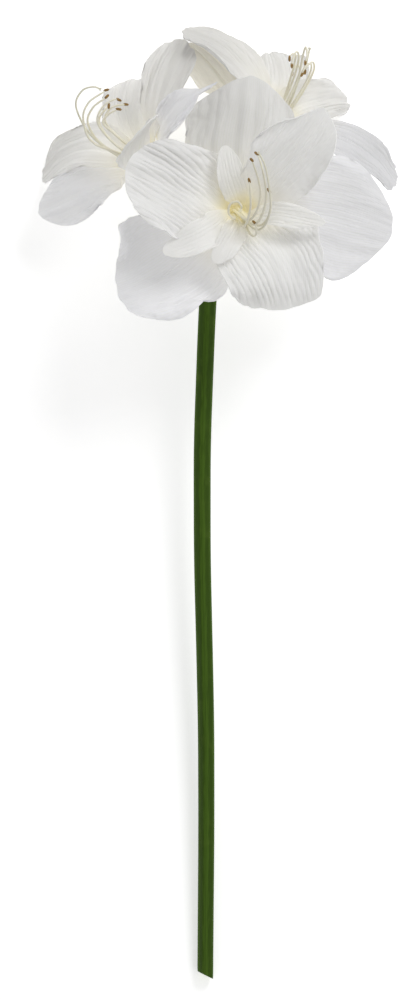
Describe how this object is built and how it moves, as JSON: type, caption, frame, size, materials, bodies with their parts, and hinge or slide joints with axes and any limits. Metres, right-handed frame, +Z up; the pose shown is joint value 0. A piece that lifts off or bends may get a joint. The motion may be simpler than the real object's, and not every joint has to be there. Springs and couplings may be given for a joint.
{
  "type": "cut amaryllis stem",
  "caption": "Cut amaryllis with open white flowers on one long leafless green stem, lying on a flat surface.",
  "frame": {"origin": "on the surface it lies on, under the middle of its bounding box", "axes": "+Z up from the surface, +Y along the stem towards the flowers, +X to the right seen from above with the flowers away from the viewer"},
  "size_m": [0.253, 0.672, 0.1664],
  "materials": {
    "stem": "satin green, fine lengthwise lines",
    "stalk_and_tube": "satin yellow green",
    "petal": "soft matte white with fine ribs",
    "stamen": "matte cream, brown anther",
    "pistil": "matte cream",
    "bract": "dry papery tan"
  },
  "bodies": {
    "root": {"bract_lower": "bract", "bract_upper": "bract", "front_petal_left": "petal", "front_petal_lower_left": "petal", "front_petal_lower_right": "petal", "front_petal_right": "petal", "front_petal_small_left": "petal", "front_petal_small_lower": "petal", "front_petal_small_right": "petal", "front_petal_small_top": "petal", "front_petal_top": "petal", "front_petal_upper_right": "petal", "front_pistil": "pistil", "front_stalk_and_tube": "stalk_and_tube", "front_stamen_1": "stamen", "front_stamen_2": "stamen", "front_stamen_3": "stamen", "front_stamen_4": "stamen", "front_stamen_5": "stamen", "front_stamen_6": "stamen", "left_petal_back_lower": "petal", "left_petal_back_upper": "petal", "left_petal_lower": "petal", "left_petal_near_lower": "petal", "left_petal_near_upper": "petal", "left_petal_upper": "petal", "left_pistil": "pistil", "left_stalk_and_tube": "stalk_and_tube", "left_stamen_1": "stamen", "left_stamen_2": "stamen", "left_stamen_3": "stamen", "left_stamen_4": "stamen", "left_stamen_5": "stamen", "left_stamen_6": "stamen", "right_petal_back_lower": "petal", "right_petal_back_upper": "petal", "right_petal_lower": "petal", "right_petal_near_lower": "petal", "right_petal_near_upper": "petal", "right_petal_upper": "petal", "right_pistil": "pistil", "right_stalk_and_tube": "stalk_and_tube", "right_stamen_1": "stamen", "right_stamen_2": "stamen", "right_stamen_3": "stamen", "right_stamen_4": "stamen", "right_stamen_5": "stamen", "right_stamen_6": "stamen", "stem": "stem"}
  },
  "joints": []
}
